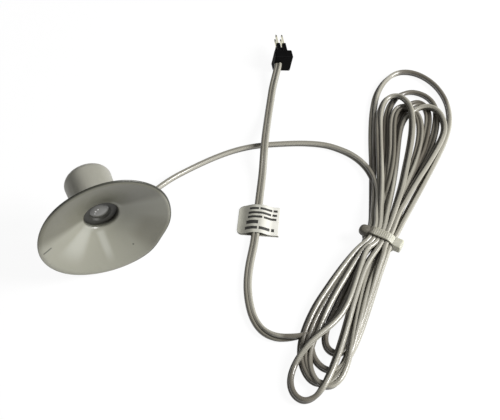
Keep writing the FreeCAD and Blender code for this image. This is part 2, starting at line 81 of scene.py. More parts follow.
class Signal:
    # a material's socket that can stand in a formula
    def __init__(self, coat, socket):
        self.coat = coat
        self.socket = socket

    __add__ = joined("ADD")
    __radd__ = joined("ADD")
    __sub__ = joined("SUBTRACT")
    __rsub__ = joined("SUBTRACT", swapped=True)
    __mul__ = joined("MULTIPLY")
    __rmul__ = joined("MULTIPLY")
    __truediv__ = joined("DIVIDE")


class Coat:
    # a material: its shader's plain settings, and nodes made one by one
    def __init__(self, name, settings):
        self.material = bpy.data.materials.new(name)
        self.material.use_nodes = True
        self.tree = self.material.node_tree
        self.shader = self.tree.nodes["Principled BSDF"]
        self.set(settings)

    def set(self, values):
        # a value or a signal for each named socket of the shader
        for name, value in values.items():
            self.feed(self.shader.inputs[name], value)

    def feed(self, socket, value):
        # a signal is linked and a value is written, a colour with its alpha of 1
        if isinstance(value, Signal):
            self.tree.links.new(value.socket, socket)
        else:
            socket.default_value = (*value, 1.0) if socket.type == "RGBA" and len(value) == 3 else value

    def node(self, kind, settings, values, out=0):
        # one node: its settings first, then a value or a link for each named or numbered socket
        made = self.tree.nodes.new(kind)
        for name, value in settings.items():
            setattr(made, name, value)
        for place, value in (values.items() if isinstance(values, dict) else enumerate(values)):
            self.feed(made.inputs[place], value)
        return Signal(self, made.outputs[out])

    def place(self, centre=(0, 0, 0)):
        # object coordinates in mm, counted from a centre in mm
        here = self.node("ShaderNodeTexCoord", {}, {}, "Object")
        scaled = self.node("ShaderNodeVectorMath", {"operation": "SCALE"}, {0: here, "Scale": 1 / mm})
        return self.node("ShaderNodeVectorMath", {"operation": "SUBTRACT"}, (scaled, centre))

    def parts(self, vector):
        # a vector's three numbers
        split = self.node("ShaderNodeSeparateXYZ", {}, (vector,))
        return [Signal(self, socket) for socket in split.socket.node.outputs]

    def surfacePlace(self):
        # the piece's own UV map: share round and length along in mm
        return self.parts(self.node("ShaderNodeUVMap", {"uv_map": "UVMap"}, {}))

    def call(self, operation, *values):
        # one Math node on these values
        return self.node("ShaderNodeMath", {"operation": operation}, values)

    def size(self, value):
        # the value without its sign
        return self.call("ABSOLUTE", value)

    def highest(self, one, other):
        # the larger of both values
        return self.call("MAXIMUM", one, other)

    def distance(self, one, other):
        # the root of the sum of both squares
        return self.call("SQRT", one * one + other * other)

    def noise(self, where, scale, detail=2.0):
        # Blender's noise between 0 and 1, with about as many waves to a mm as the scale says
        return self.node("ShaderNodeTexNoise", {}, {"Vector": where, "Scale": scale, "Detail": detail})

    def step(self, value, low, high):
        # 0 below low, 1 above high and a smooth rise between
        smooth = {"interpolation_type": "SMOOTHSTEP"}
        return self.node("ShaderNodeMapRange", smooth, (value, low, high, 0.0, 1.0))

    def blend(self, share, one, other):
        # one times 1 - share, plus other times share
        return self.node("ShaderNodeMix", {"data_type": "RGBA"}, {0: share, 6: one, 7: other}, 2)

    def bump(self, height, depth, strength):
        # a height of 1 stands out by the depth, in metres
        return self.node("ShaderNodeBump", {}, {"Height": height, "Distance": depth, "Strength": strength})

    def grained(self, shade, grain, choice):
        # the shade, with a grain that adds to the roughness and stands out by its depth in mm
        added, depth, strength = choice["grain"]
        self.set({
            "Base Color": shade,
            "Roughness": choice["roughness"] + grain * added,
            "Normal": self.bump(grain, depth * mm, strength),
        })
        return self


def meshPiece(name, points, groups, uvs=None, smooth=True):
    # points in metres, groups of faces with equally many sides, and a UV pair for each face corner
    corners = np.concatenate([np.asarray(group).ravel() for group in groups])
    sides = np.concatenate([np.full(len(group), len(group[0])) for group in groups])
    mesh = bpy.data.meshes.new(name)
    mesh.vertices.add(len(points))
    mesh.vertices.foreach_set("co", np.asarray(points, float).ravel())
    mesh.loops.add(len(corners))
    mesh.loops.foreach_set("vertex_index", corners)
    mesh.polygons.add(len(sides))
    mesh.polygons.foreach_set("loop_start", np.cumsum(sides) - sides)
    if uvs is not None:
        mesh.uv_layers.new(name="UVMap").data.foreach_set("uv", np.asarray(uvs, float).ravel())
    mesh.update(calc_edges=True)
    mesh.validate()
    mesh.polygons.foreach_set("use_smooth", [smooth] * len(mesh.polygons))
    piece = bpy.data.objects.new(name, mesh)
    bpy.context.collection.objects.link(piece)
    return piece


def gridFaces(rows, columns, wrapRows=False, wrapColumns=True):
    # quads between neighbouring rows and columns; a wrapped side also joins its last to its first
    grid = np.arange(rows * columns).reshape(rows, columns)
    if wrapRows:
        grid = np.vstack([grid, grid[:1]])
    if wrapColumns:
        grid = np.column_stack([grid, grid[:, :1]])
    return np.stack([grid[:-1, :-1], grid[:-1, 1:], grid[1:, 1:], grid[1:, :-1]], axis=-1).reshape(-1, 4)


def fanFaces(ring, middle, turnedRound=False):
    # triangles from each point of a ring and the next one to the point in its middle
    following = np.roll(ring, -1)
    pair = (following, ring) if turnedRound else (ring, following)
    return np.column_stack([*pair, np.full(len(ring), middle)])


def gridUvs(around, along):
    # each quad's corners in the same order, from the values at the edges of columns and rows
    left, low = np.meshgrid(around[:-1], along[:-1])
    right, high = np.meshgrid(around[1:], along[1:])
    corners = [(left, low), (right, low), (right, high), (left, high)]
    return np.stack([np.stack(pair, -1) for pair in corners], axis=2).reshape(-1, 2)


def walked(points):
    # the length from the first point along the line to each point
    return np.concatenate([[0.0], np.cumsum(np.linalg.norm(np.diff(points, axis=0), axis=1))])


def turned(points, degrees, place):
    # turns points in mm about Z, moves them to their place and gives metres
    angle = math.radians(degrees)
    cosine, sine = math.cos(angle), math.sin(angle)
    spin = np.array([[cosine, sine, 0], [-sine, cosine, 0], [0, 0, 1]])
    return (np.asarray(points) @ spin + np.array(place)) * mm


def finishPiece(piece, coat, slot, *replaced):
    # gives a piece its material and its body, and hides the CAD nodes that it stands for
    piece.data.materials.append(coat.material)
    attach(piece, "root")
    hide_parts(*replaced)
    return piece


cordSet = {
    "width": 3.2,
    "thickness": 1.9,
    "spanSteps": 8,        # mesh rings for each of the spline's spans
    "grooveAngle": 148.0,  # how far each core's outline goes before the web between the cores
    "outlinePoints": 11,   # points on each core's outline
    "shade": (0.3, 0.285, 0.235),
    "strandShade": (0.42, 0.405, 0.345),
    "wireShare": 0.32,     # how much of the strands' shade wires and clouds bring
    "cloudShare": 0.5,
    "cloudScale": 0.12,
    # painted shade: one core darker than the other, as if turned away from the light
    "paintedCoreShade": (0.12, 0.11, 0.085),
    "paintedCoreShare": 0.75,
    # painted shade along each core's outer side
    "paintedSideShade": (0.08, 0.073, 0.057),
    "paintedSideShare": 0.5,
    "sideReach": 0.3,      # how much of the way from each core's outer side to the groove is darker
    # painted shade in the groove between the cores
    "paintedGrooveShade": (0.045, 0.041, 0.03),
    "grooveReach": (0.8, 0.94),
    "coreEdge": (0.49, 0.51),  # the share round at which the darker core begins
    "layLength": 0.7,      # mm along the cord for one turn of its fine wires
    "laySlant": 5,         # turns of the wires that one round of the cord adds
    "wireEdge": (-0.5, 0.8),
    "wireDepth": 0.02,
    "roughness": 0.34,
    # low strands get painted shade between two edges, which move as they go up the bundle, in mm from the
    # tie
    "paintedLowShade": {
        "upWay": (0.65, 0.76), "heights": (3.0, 5.0), "shade": (0.085, 0.073, 0.056), "share": 0.75,
        "leftSpan": (-8.0, 4.0), "leftMove": 8.0, "leftEdge": (-15.5, -13.0),
        "rightSpan": (-5.0, 5.0), "rightMove": 11.0, "rightStart": -3.0, "rightEdge": (0.0, 3.0),
    },
}
# x, y, z in mm and the roll in degrees: 0 lies flat, 90 stands on edge
sensorRun = [
    (7.85, 6.45, 15.65, 60), (10.4, 6.45, 12.6, 62), (13.9, 7.3, 9.0, 64), (18.6, 9.7, 6.2, 66),
    (23.6, 13.0, 4.6, 66), (28.9, 16.2, 3.6, 66), (35.0, 19.1, 2.6, 66), (42.0, 21.2, 1.9, 66),
    (49.0, 22.7, 1.7, 66), (56.0, 23.7, 1.65, 66), (63.8, 24.1, 1.65, 66), (72.2, 23.2, 1.65, 66),
    (81.7, 20.4, 1.65, 68), (91.0, 17.1, 1.65, 72), (98.8, 12.9, 1.65, 78), (103.4, 8.1, 1.65, 86),
    (106.2, 4.2, 1.65, 96), (108.2, -0.6, 1.7, 106), (109.0, -6.0, 1.9, 114), (108.4, -12.2, 2.4, 120),
    (106.4, -18.2, 3.2, 122), (103.6, -23.8, 4.3, 120), (100.7, -28.6, 5.3, 114),
]
plugRun = [
    (85.0, -48.5, 3.4, 112), (78.5, -54.0, 2.4, 118), (72.0, -60.0, 1.8, 124), (66.0, -64.8, 1.65, 126),
    (60.2, -67.0, 1.65, 126), (54.4, -66.6, 1.65, 122), (48.9, -65.6, 1.7, 100), (44.0, -63.4, 1.6, 62),
    (40.8, -59.0, 1.4, 26), (40.0, -52.9, 1.15, 2), (41.1, -46.0, 1.15, -10), (43.4, -38.7, 1.15, -12),
    (47.3, -30.9, 1.15, -12), (53.4, -21.4, 1.25, -8), (58.2, -12.0, 1.25, -6), (63.0, -2.7, 1.25, -8),
    (68.6, 7.6, 2.4, -12), (72.2, 15.0, 5.0, -12), (75.6, 21.9, 5.4, -12), (79.3, 29.2, 3.6, -12),
    (83.9, 38.0, 1.6, -12), (88.0, 45.4, 1.3, -10), (91.2, 51.0, 2.2, -4), (95.1, 56.5, 3.9, 0),
    (97.9, 60.4, 4.95, 0), (98.6, 62.6, 5.1, 0),
]
loops = {
    "T4": [
        (108.2, -32.7, 5.6, 60), (112.8, -28.6, 5.0, 50), (118.3, -23.7, 4.6, 45), (124.5, -18.7, 4.2, 45),
        (130.7, -13.9, 3.8, 45), (136.3, -9.4, 3.6, 45), (141.1, -5.3, 3.5, 50), (145.6, -0.9, 3.4, 60),
        (148.3, 3.5, 3.4, 70), (149.5, 9.2, 3.5, 85), (148.4, 13.2, 3.7, 100), (145.2, 15.4, 3.7, 110),
        (142.1, 15.5, 3.4, 115), (139.0, 14.9, 3.0, 120), (135.1, 13.1, 2.7, 125), (131.5, 10.0, 2.4, 130),
        (128.1, 5.3, 2.2, 132), (124.3, -0.9, 2.2, 132), (119.9, -8.1, 2.6, 130), (114.9, -15.8, 3.4, 128),
        (109.3, -23.8, 4.6, 122), (104.0, -31.1, 5.8, 115),
    ],
    "T2": [
        (107.8, -30.5, 6.2, 55), (112.6, -24.9, 5.8, 45), (116.9, -19.5, 5.4, 42), (120.7, -14.2, 5.2, 42),
        (125.1, -8.2, 5.0, 42), (129.8, -1.5, 5.0, 45), (134.2, 5.4, 5.0, 55), (137.3, 11.8, 5.2, 75),
        (138.9, 16.6, 5.3, 90), (138.7, 20.8, 5.2, 105), (137.7, 24.1, 4.6, 115), (135.1, 25.5, 4.2, 120),
        (132.2, 25.1, 3.9, 125), (129.1, 22.6, 3.6, 130), (125.4, 17.8, 3.4, 150), (121.9, 10.9, 3.2, 164),
        (117.7, 2.0, 3.2, 164), (113.1, -8.0, 3.6, 150), (107.7, -19.1, 4.8, 130), (103.0, -27.7, 5.8, 118),
    ],
    "T5": [
        (109.7, -28.9, 3.4, 60), (114.8, -23.3, 3.2, 50), (119.9, -17.7, 3.2, 45), (124.1, -13.5, 3.2, 34),
        (128.1, -9.0, 3.0, 24), (131.9, -4.3, 2.9, 14), (134.9, -0.2, 2.9, 8), (137.6, 4.3, 2.9, 6),
        (139.8, 9.0, 2.9, 4), (140.6, 13.6, 2.95, 2), (139.6, 17.3, 3.0, 0), (137.5, 19.1, 3.0, 0),
        (134.8, 19.0, 3.0, -2), (131.9, 16.7, 3.0, -6), (129.1, 12.7, 3.0, -8), (125.9, 6.5, 3.0, -10),
        (122.7, 0.2, 3.0, -12), (118.9, -6.5, 3.1, -24), (113.9, -14.1, 3.2, 140), (108.6, -21.3, 3.2, 122),
    ],
    "T6": [
        (110.6, -28.9, 3.0, 62), (115.7, -23.4, 2.6, 52), (120.9, -18.0, 2.2, 46), (125.4, -13.4, 1.9, 42),
        (129.8, -8.9, 1.6, 34), (133.9, -4.6, 1.4, 22), (137.6, -0.1, 1.3, 12), (141.0, 4.6, 1.25, 6),
        (143.9, 8.8, 1.25, 2), (146.0, 13.0, 1.25, 0), (146.7, 16.8, 1.25, 0), (145.7, 19.7, 1.25, 0),
        (143.1, 20.6, 1.25, 0), (139.7, 19.4, 1.25, -4), (135.7, 16.5, 1.25, -6), (131.7, 12.2, 1.25, -8),
        (127.8, 6.9, 1.25, -10), (123.6, 0.5, 1.3, -14), (119.1, -6.2, 1.5, -22), (113.5, -14.2, 2.2, 142),
        (107.7, -22.0, 3.2, 124),
    ],
    "T3": [
        (111.4, -29.5, 3.0, 65), (116.5, -24.3, 2.6, 55), (121.7, -19.4, 2.2, 48), (126.6, -15.2, 1.9, 44),
        (131.7, -10.7, 1.75, 42), (136.7, -5.7, 1.5, 30), (141.2, -0.5, 1.4, 16), (145.4, 5.0, 1.4, 14),
        (148.8, 10.6, 1.5, 40), (150.7, 16.2, 1.65, 90), (150.1, 21.3, 1.65, 105), (147.5, 25.0, 1.7, 114),
        (144.5, 26.9, 1.65, 122), (140.5, 27.1, 1.55, 130), (136.1, 25.3, 1.45, 138),
        (131.9, 21.6, 1.35, 148), (128.0, 16.1, 1.35, 162), (124.2, 8.8, 1.35, 168), (120.0, 0.4, 1.4, 165),
        (115.2, -8.1, 1.6, 148), (109.7, -16.4, 2.1, 130), (104.1, -24.4, 2.7, 118),
    ],
    "T1": [
        (110.1, -34.7, 4.5, 60), (116.6, -28.8, 3.8, 45), (122.6, -23.5, 3.0, 40), (129.0, -17.8, 2.4, 40),
        (134.6, -12.9, 2.0, 42), (140.1, -8.0, 1.7, 48), (145.6, -2.7, 1.6, 55), (150.7, 3.3, 1.6, 65),
        (154.5, 10.3, 1.6, 75), (156.7, 18.2, 1.6, 90), (156.6, 26.4, 1.6, 100), (154.0, 33.5, 1.6, 108),
        (149.6, 38.1, 1.6, 112), (143.9, 39.5, 1.6, 116), (136.9, 36.5, 1.6, 122), (130.5, 30.8, 1.5, 132),
        (125.6, 23.5, 1.35, 145), (120.7, 14.6, 1.2, 158), (116.3, 5.6, 1.2, 158), (112.3, -3.3, 1.3, 152),
        (107.4, -13.0, 1.8, 140), (102.6, -22.3, 2.8, 125),
    ],
    "B3": [
        (87.5, -40.9, 5.2, 115), (81.4, -44.3, 4.4, 125), (74.9, -48.5, 3.8, 130), (68.8, -52.8, 3.2, 132),
        (63.3, -56.8, 2.8, 132), (58.5, -61.1, 2.2, 130), (54.2, -65.7, 1.8, 125), (50.9, -70.5, 1.65, 118),
        (48.9, -75.3, 1.65, 108), (48.2, -80.2, 1.65, 98), (48.8, -84.0, 1.65, 90), (50.9, -86.4, 1.65, 80),
        (54.1, -87.0, 1.65, 72), (57.8, -85.5, 1.65, 65), (62.1, -82.4, 1.8, 58), (66.7, -78.2, 2.4, 52),
        (71.6, -73.2, 3.2, 48), (77.0, -67.2, 3.8, 45), (82.9, -60.3, 4.4, 45), (88.9, -53.3, 5.2, 55),
        (93.9, -48.0, 5.8, 65),
    ],
    "B1": [
        (89.2, -43.6, 6.4, 115), (84.2, -49.3, 6.2, 120), (79.2, -55.1, 5.9, 125), (74.4, -60.6, 5.7, 128),
        (69.5, -65.1, 5.5, 128), (64.2, -68.1, 5.4, 122), (58.7, -70.0, 5.3, 118), (53.4, -72.0, 4.8, 118),
        (48.8, -74.4, 3.4, 118), (44.7, -77.6, 1.9, 116), (41.7, -82.1, 1.6, 108), (41.1, -86.9, 1.6, 95),
        (43.2, -90.5, 1.65, 82), (47.3, -90.7, 1.8, 70), (51.1, -89.0, 3.6, 60), (55.4, -85.4, 4.2, 52),
        (59.8, -80.8, 4.2, 46), (64.3, -75.6, 4.3, 44), (68.9, -70.0, 4.8, 44), (73.8, -63.8, 5.4, 46),
        (79.7, -56.7, 5.8, 50), (85.8, -49.9, 6.2, 60),
    ],
    "B2": [
        (88.4, -42.6, 5.6, 115), (82.7, -46.7, 5.0, 125), (76.7, -51.3, 4.6, 132), (71.0, -55.8, 4.2, 134),
        (65.7, -60.4, 3.6, 134), (60.8, -65.0, 2.9, 146), (56.0, -69.7, 2.4, 146), (52.5, -74.3, 2.2, 124),
        (50.4, -79.3, 2.2, 104), (49.9, -84.1, 2.4, 95), (51.4, -87.7, 2.2, 84), (54.5, -89.2, 2.2, 74),
        (58.2, -88.1, 2.6, 64), (62.5, -83.9, 2.8, 55), (66.5, -78.2, 3.2, 48), (70.6, -72.1, 3.6, 45),
        (75.1, -65.5, 3.8, 45), (80.4, -58.3, 3.8, 48), (86.4, -50.4, 3.4, 58),
    ],
    "B5": [
        (85.4, -45.7, 2.8, 115), (79.3, -51.2, 2.4, 122), (73.7, -56.2, 2.0, 126), (68.6, -61.0, 1.8, 128),
        (65.1, -64.3, 1.7, 126), (62.1, -67.7, 1.65, 120), (59.9, -71.2, 1.65, 112),
        (59.3, -74.8, 1.65, 102), (61.0, -77.6, 1.65, 92), (64.0, -78.3, 1.65, 80), (67.0, -76.1, 1.65, 66),
        (70.9, -71.1, 1.8, 54), (76.0, -64.8, 2.2, 50), (81.5, -58.0, 2.6, 52), (87.2, -51.4, 2.9, 60),
    ],
    "B6": [
        (88.1, -40.9, 3.9, 115), (82.0, -45.0, 3.4, 125), (75.6, -49.6, 3.0, 130), (69.7, -54.0, 2.7, 132),
        (64.3, -58.4, 2.4, 132), (59.4, -62.8, 2.1, 130), (55.1, -67.5, 1.9, 125), (51.8, -72.2, 1.8, 118),
        (49.8, -77.0, 1.8, 108), (49.3, -81.6, 1.8, 98), (50.2, -84.9, 1.8, 90), (52.3, -87.0, 1.8, 80),
        (55.4, -87.2, 1.9, 70), (59.3, -85.5, 2.1, 62), (63.5, -82.2, 2.5, 55), (67.7, -77.6, 3.2, 50),
        (72.0, -72.0, 3.9, 46), (76.7, -66.0, 4.3, 45), (81.7, -59.5, 4.4, 46), (87.5, -53.0, 4.0, 54),
        (93.4, -47.9, 3.4, 64),
    ],
    "B4": [
        (82.6, -45.3, 3.2, 115), (76.1, -49.8, 2.9, 124), (69.9, -54.1, 2.4, 132), (64.3, -58.7, 1.9, 134),
        (59.5, -63.7, 1.65, 130), (55.7, -68.9, 1.65, 122), (53.6, -73.7, 1.65, 112),
        (53.5, -78.4, 1.65, 100), (55.3, -82.3, 1.65, 90), (58.7, -83.9, 1.8, 76), (63.0, -82.2, 1.9, 64),
        (67.7, -78.3, 2.0, 54), (72.8, -73.2, 2.2, 48), (78.1, -67.3, 2.6, 45), (83.7, -60.9, 3.2, 45),
        (89.4, -54.4, 3.8, 50), (94.7, -48.9, 4.4, 60),
    ],
}
# each pass through the tie: where it lies across the bundle and how high
tieSlots = {
    "sensor": (-3.2, 5.7),
    "T4": (0.0, 5.7), "T2": (-1.6, 5.7), "T5": (-1.6, 3.0), "T6": (-2.4, 4.3), "T3": (-3.2, 3.0),
    "T1": (-4.9, 4.4), "B3": (3.2, 5.7), "B1": (1.6, 5.7), "B2": (0.0, 3.0), "B5": (1.6, 3.0),
    "B6": (3.2, 3.0), "B4": (4.9, 4.6),
}
windingOrder = ["B3", "T4", "B1", "T2", "B2", "T5", "B5", "T6", "B6", "T3", "B4", "T1"]
tieSet = {
    "place": (96.9, -39.9, 0.0),
    "turn": -50.0,
    "passReach": 3.4,      # how far each side of the tie a strand lies straight
    "passRolls": (70, 110),  # a strand's roll on its way up the bundle and down
    "bundleWidth": 11.4,
    "bundleHeight": 6.5,
    "strapWidth": 3.6,
    "strapThickness": 0.9,
    "strapSteps": 420,
    "strapPowers": (0.35, 0.5),  # how square the strap's section is, across and through
    "toothPitch": 0.8,
    "toothDepth": 0.14,
    "toothBand": 0.72,     # the teeth's share of the strap's width
    "headSize": (3.8, 4.5, 3.6),
    "headPlace": (7.2, 0.0, 5.0),
    "headShape": 0.32,     # 0 a box, 1 a ball
    "knobSize": (5.6, 4.3, 4.0),
    "knobPlace": (-5.6, -0.2, 6.0),
    "knobShape": 0.75,
    # the head's colour, lightened as painted light
    "shade": (0.43, 0.425, 0.35),
    "strapShade": (0.32, 0.31, 0.255),
    "knobPaintedShade": (0.11, 0.1, 0.08),
    "knobPaintedShadeSpan": (-4.0, -1.5),  # mm across the bundle where the knob's shade gives way to the strap's
    "headPaintedLightSpan": (1.0, 6.5),    # and the strap's to the head's
    "roughness": 0.42,
    "grain": (0.12, 0.015, 0.4),
}


def tiePass(slot, upwards):
    # two points, one each side of the tie, at the slot's place across the bundle
    across, height = tieSlots[slot]
    reach = tieSet["passReach"]
    spots = np.array([(across, -reach, height), (across, reach, height)])
    ends = turned(spots, tieSet["turn"], tieSet["place"]) / mm
    upRoll, downRoll = tieSet["passRolls"]
    return [(*end, upRoll) for end in ends] if upwards else [(*end, downRoll) for end in ends[::-1]]


def cordRoute():
    # the sensor's run, every turn with its pass through the tie, and the plug's run, in their order
    route = list(sensorRun) + tiePass("sensor", False)
    for loop in windingOrder:
        route += loops[loop] + tiePass(loop, loop.startswith("B"))
    return np.array(route + plugRun)


def splineLine(name, points):
    # the points that Blender's own NURBS line passes through these control points
    curve = bpy.data.curves.new(name, "CURVE")
    curve.dimensions = "3D"
    curve.resolution_u = cordSet["spanSteps"]
    line = curve.splines.new("NURBS")
    line.points.add(len(points) - 1)
    line.points.foreach_set("co", np.column_stack([points, np.ones(len(points))]).ravel())
    line.order_u = 3
    line.use_endpoint_u = True
    holder = bpy.data.objects.new(name, curve)
    mesh = bpy.data.meshes.new_from_object(holder)
    found = np.empty(len(mesh.vertices) * 3)
    mesh.vertices.foreach_get("co", found)
    bpy.data.meshes.remove(mesh)
    bpy.data.objects.remove(holder)
    bpy.data.curves.remove(curve)
    return found.reshape(-1, 3)


def twinOutline(width, thickness):
    # two ovals side by side, each open towards the other, joined by a thin web
    half = width / 4
    limit = cordSet["grooveAngle"]
    sweep = np.radians(np.linspace(-limit, limit, cordSet["outlinePoints"]))
    right = np.column_stack([half + half * np.cos(sweep), thickness / 2 * np.sin(sweep)])
    return np.vstack([right, -right])


def carry(line, rolls, outline):
    # each ring is the outline set across the line's way, turned by the roll about that way
    way = np.gradient(line, axis=0)
    way /= np.linalg.norm(way, axis=1, keepdims=True)
    level = np.cross(way, [0, 0, 1])
    level /= np.linalg.norm(level, axis=1, keepdims=True)
    upward = np.cross(level, way)
    turn = np.radians(rolls)[:, None]
    wide = np.cos(turn) * level + np.sin(turn) * upward
    thin = np.cross(wide, way)
    return (line[:, None, :] + outline[None, :, :1] * wide[:, None, :]
            + outline[None, :, 1:] * thin[:, None, :])


def makeSheath(rings, run):
    # quads between the rings, and a fan at each end to the middle of its ring
    count, around = rings.shape[:2]
    total = count * around
    points = np.vstack([rings.reshape(-1, 3), rings[0].mean(axis=0), rings[-1].mean(axis=0)])
    first = np.arange(around)
    groups = [gridFaces(count, around), fanFaces(first, total, turnedRound=True),
              fanFaces(total - around + first, total + 1)]
    uvs = np.vstack([gridUvs(np.linspace(0, 1, around + 1), run), np.zeros((6 * around, 2))])
    return meshPiece("twinCord", points, groups, uvs)


def cordCoat(choice):
    # lines of fine wires: the sine of the length along over one lay, plus the slant times the share round;
    # painted shade makes one core darker, each core's outer side and the groove darker still, and the low
    # strands of the bundle darker too
    coat = Coat("clearSheath", {"Coat Weight": 0.55, "Coat Roughness": 0.16})
    around, along, _ = coat.surfacePlace()
    turnShare = around * 2
    core = turnShare - coat.call("FLOOR", turnShare)
    reach = coat.size(core - 0.5) * 2
    # painted shade in the groove between the cores
    paintedGroove = coat.step(reach, *choice["grooveReach"])
    # painted shade along each core's outer side
    side = 1 - coat.step(reach, 0.0, choice["sideReach"])
    lay = coat.call("SINE", (along / choice["layLength"] + around * choice["laySlant"]) * (2 * math.pi))
    wires = coat.step(lay, *choice["wireEdge"])
    cloud = coat.noise(coat.place(), choice["cloudScale"], 3.0)
    x, y, height = coat.parts(coat.place(tieSet["place"]))
    # painted shade on the low strands inside the bundle, where the strands above keep the light off
    paintedLowShade = choice["paintedLowShade"]
    upX, upY = paintedLowShade["upWay"]
    across = x * upY - y * upX
    upwards = x * upX + y * upY
    left = coat.step(upwards, *paintedLowShade["leftSpan"]) * paintedLowShade["leftMove"] - paintedLowShade["leftMove"]
    right = coat.step(upwards, *paintedLowShade["rightSpan"]) * paintedLowShade["rightMove"] + paintedLowShade["rightStart"]
    low = (1 - coat.step(height, *paintedLowShade["heights"])) * coat.step(across - left, *paintedLowShade["leftEdge"])
    low = low * (1 - coat.step(across - right, *paintedLowShade["rightEdge"]))
    shade = coat.blend(wires * choice["wireShare"] + cloud * choice["cloudShare"],
                       choice["shade"], choice["strandShade"])
    # painted shade over one core
    shade = coat.blend(coat.step(around, *choice["coreEdge"]) * choice["paintedCoreShare"],
                       shade, choice["paintedCoreShade"])
    shade = coat.blend(side * choice["paintedSideShare"], shade, choice["paintedSideShade"])
    shade = coat.blend(low * paintedLowShade["share"], shade, paintedLowShade["shade"])
    coat.set({
        "Base Color": coat.blend(paintedGroove, shade, choice["paintedGrooveShade"]),
        "Roughness": choice["roughness"] + cloud * 0.1 - wires * 0.05,
        "Normal": coat.bump(lay, choice["wireDepth"] * mm, 0.4),
    })
    return coat


route = cordRoute()
cordLine = splineLine("cordLine", route[:, :3] * mm)
rolls = np.unwrap(route[:, 3], period=180)  # the section is the same after half a turn
cordRolls = np.interp(np.linspace(0, 1, len(cordLine)), np.linspace(0, 1, len(route)), rolls)
cordRun = walked(cordLine)
rings = carry(cordLine, cordRolls, twinOutline(cordSet["width"] * mm, cordSet["thickness"] * mm))
cord = finishPiece(makeSheath(rings, cordRun / mm), cordCoat(cordSet), "cord_sheath",
                   "sensor_lead", "cord_hank", "plug_lead", "plug_core_left", "plug_core_right")
print(f"cord made, {cordRun[-1]:.3f} m, {len(cordLine)} rings")


headSet = {
    "rimDepth": -13.45,    # y of the cup's rim
    "centreHeight": 25.0,
    "cupRadius": 25.0,
    "cupDepth": 7.4,
    "hubRadius": 6.4,
    "hubRound": 1.3,
    "seatDepth": 8.9,
    "neckRadius": 10.05,
    "neckEnd": 12.5,
    "housingRadius": 8.45,
    "lip": 0.7,
    "land": 0.6,
    "bow": 0.35,
    "steps": 160,
    # where the soft rim is pressed in or stands out: middle and half width in degrees, depth in mm
    "dents": [(250, 22, 0.55), (326, 16, 1.3), (0, 26, 0.8), (180, 32, -0.25), (90, 32, -0.25)],
    "waves": [(0.22, 3, 0.6), (0.12, 5, 2.0)],  # the rim's sway: mm, waves round and where they start
    "topLean": 0.5,        # how far the top of the rim leans back
    "topLeanHalf": 0.7,    # and over how many radians each way
    "edgePower": 6,        # sway and dents grow with the radius to this power
    "floorGap": 0.02,
    "shade": (0.3, 0.295, 0.24),
    "otherShade": (0.25, 0.25, 0.2),
    # the dark colour of the scratch, the speck and the lip; on the lip it is partly painted shade
    "edgeShade": (0.022, 0.022, 0.014),
    "slope": (14.0, 22.0),  # radii between which band and streak fade out
    "roughness": 0.3,
    "grain": (0.12, 0.02, 0.5),  # what it adds to the roughness, its depth in mm and its strength
    # marks on the cup: a way points from its middle, as (across, rise), and a reach holds the cosines of
    # the angle from it at which the mark starts and is full; inner, outer and edge are mm from the hub
    # top: painted shade, darker where the inner face looks down, away from the light
    "top": {"way": (-0.17, 0.98), "reach": (0.12, 0.42), "shade": (0.128, 0.124, 0.086), "share": 0.92},
    # light: the colour of the painted highlights, in the band, the streak below the hub and the patches
    "light": {"shade": (0.42, 0.42, 0.37), "share": 0.7},
    "band": {"way": (-0.79, -0.61), "reach": (0.93, 1.0)},
    "streakPaintedLight": {"across": -2.4, "lean": 0.12, "half": (0.4, 2.2), "below": (6.5, 8.5)},
    # patches of painted highlight on the hub's shoulder
    "patchPaintedLight": {"way": (0.79, 0.61), "reach": (0.9, 1.0), "inner": (0.3, 0.8), "outer": (1.2, 2.2),
              "share": 0.5},
    "shadow": {"way": (0.87, -0.5), "reach": (0.88, 1.0), "radii": (11.0, 17.0),
               "shade": (0.175, 0.168, 0.125), "share": 0.7},
    "scratch": {"place": (-22.0, -1.6), "way": (0.98, 0.17), "halfWidth": (0.2, 0.5),
                "halfLength": (1.4, 2.0)},
    "speck": {"place": (9.0, -15.3), "radii": (0.2, 0.45)},
    "markShare": 0.75,
    # the dark lip, partly a dark edge and partly painted shade, which leaves it light on the lower left;
    # near and far in mm back along the wall from the land's inner edge
    "lipMarkAndShade": {"way": (0.82, 0.57), "reach": (-0.45, -0.1), "near": (0.5, 0.85), "far": (1.8, 2.4),
                "share": 0.9},
    # painted shade on the hub's wall, down in its recess
    "hubPaintedShade": {"edge": (-0.25, 0.55), "shade": (0.035, 0.035, 0.026), "share": 0.95},
}


def arcPoints(centre, radius, start, end, count):
    # centre plus radius times the cosine and sine of evenly spaced angles
    angles = np.radians(np.linspace(start, end, count))
    return np.column_stack([centre[0] + radius * np.cos(angles), centre[1] + radius * np.sin(angles)])


def cupProfile(choice):
    # (radius, depth) once round the cup's wall: bowed inner face, hub wall, neck, outer face and lip
    hub, hubRound, seat = choice["hubRadius"], choice["hubRound"], choice["seatDepth"]
    housing, neck, end = choice["housingRadius"], choice["neckRadius"], choice["neckEnd"]
    lip = choice["lip"]
    shoulder = hub + hubRound
    landStart = choice["cupRadius"] - lip - choice["land"]
    share = np.linspace(0, 1, 26)[:-1]
    fall = choice["cupDepth"] - hubRound * 0.35
    inner = np.column_stack([
        landStart + (shoulder - landStart) * share,
        fall * share - 4 * choice["bow"] * share * (1 - share),
    ])
    bend = arcPoints((shoulder, fall + hubRound), hubRound, -112, -180, 8)
    rim = arcPoints((choice["cupRadius"] - lip / 2, lip / 2), lip / 2, 45, -90, 7)
    outer = np.array([
        (hub, seat), (housing, seat), (housing, end - 0.3), (housing + 0.3, end),
        (neck - 0.4, end), (neck, end - 0.4), (neck, seat + 1.2), (neck + 0.5, seat + 0.2),
    ])
    slope = np.linspace(0, 1, 18)[1:-1, None]
    back = outer[-1] * (1 - slope) + rim[0] * slope
    return np.vstack([inner, bend, outer, back, rim])


